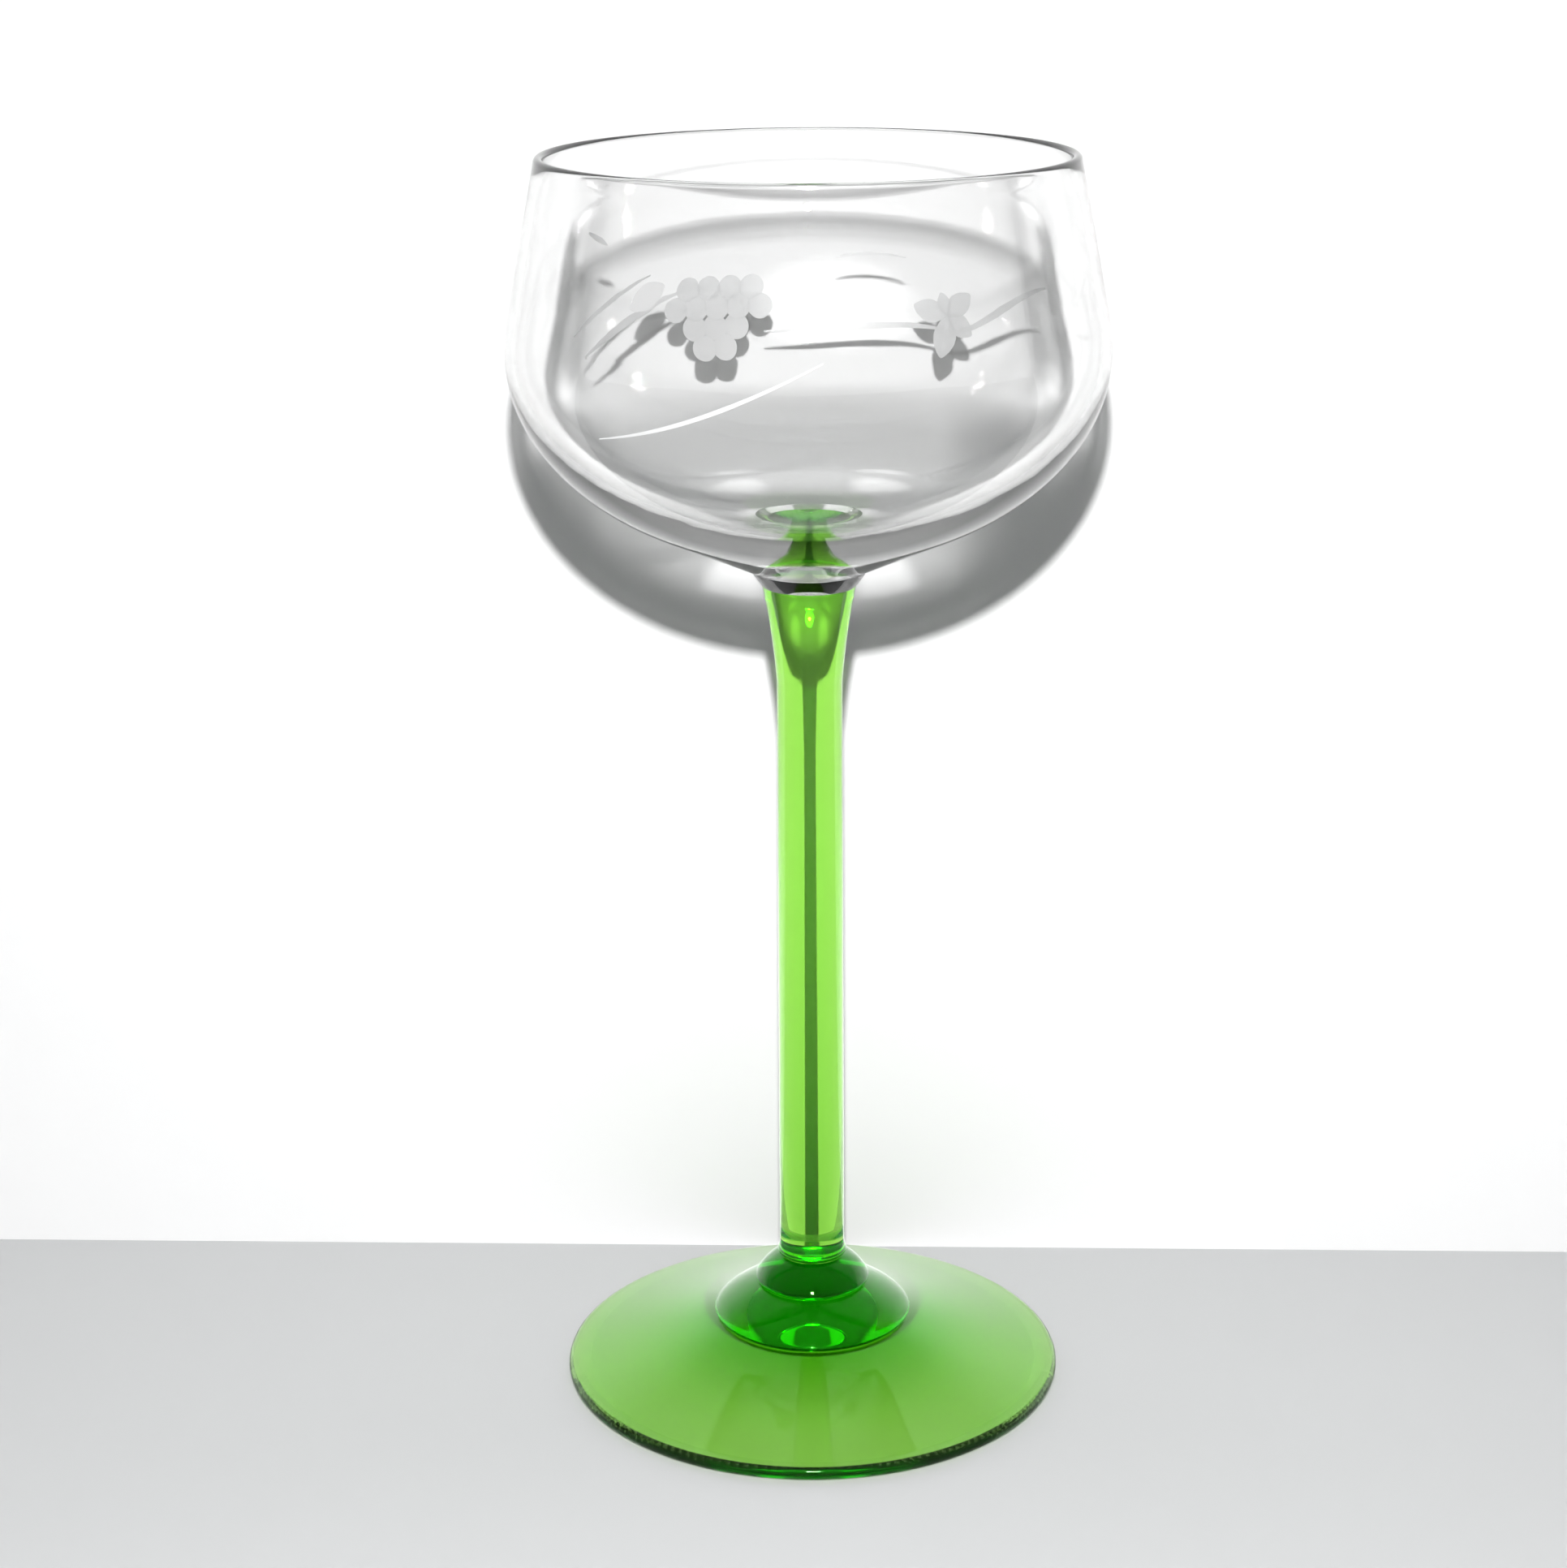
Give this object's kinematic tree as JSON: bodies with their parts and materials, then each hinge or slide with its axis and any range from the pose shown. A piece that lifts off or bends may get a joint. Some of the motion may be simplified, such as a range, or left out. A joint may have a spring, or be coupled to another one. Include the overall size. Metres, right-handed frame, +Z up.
{
  "type": "stemmed wine glass",
  "caption": "Stemmed wine glass: a clear rounded bowl that leans in to its rim, on a tall solid green stem with a stepped ring base and a spread round foot.",
  "frame": {"origin": "the middle of the foot, at the level of the surface that the glass stands on", "axes": "+Z up along the axis of the glass; -Y towards the viewer of the picture"},
  "size_m": [0.0808, 0.0808, 0.175],
  "materials": {
    "clear_glass": "clear polished glass, colourless, with a matt engraved vine round the belly",
    "green_glass": "clear polished glass, yellow-green all through"
  },
  "bodies": {
    "root": {"foot": "green_glass", "knop": "green_glass", "collar": "green_glass", "stem": "green_glass", "bowl_button": "clear_glass", "bowl": "clear_glass"}
  },
  "joints": []
}
